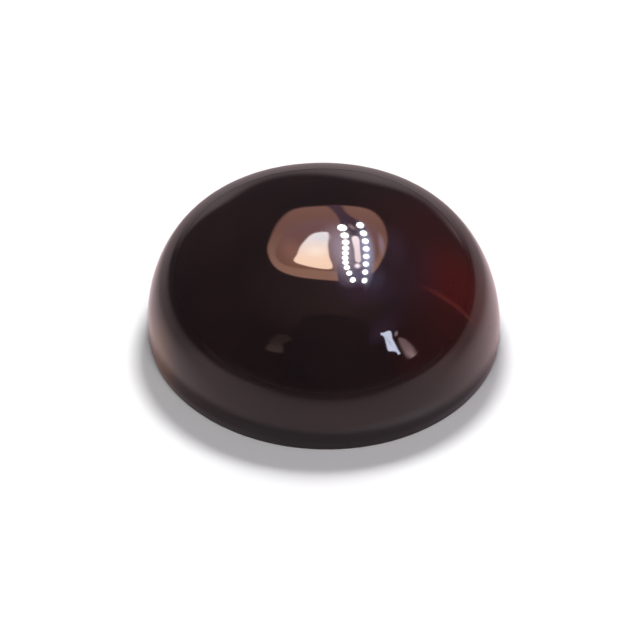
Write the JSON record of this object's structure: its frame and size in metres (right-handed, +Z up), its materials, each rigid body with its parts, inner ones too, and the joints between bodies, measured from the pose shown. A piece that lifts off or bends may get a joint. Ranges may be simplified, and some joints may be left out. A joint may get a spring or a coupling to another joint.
{
  "type": "agate cabochon",
  "caption": "Loose polished agate cabochon: a slightly oval, high domed dark red stone with a narrow girdle and a flat ground base.",
  "frame": {"origin": "middle of the box round the stone, on the plane that the flat base rests on", "axes": "+Z up through the dome, +Y along the long way of the oval, +X across it"},
  "size_m": [0.0154, 0.016, 0.0069],
  "materials": {
    "polished_agate": "mirror polished dome and side, finely ground base"
  },
  "bodies": {
    "root": {"agate_cabochon": "polished_agate"}
  },
  "joints": []
}
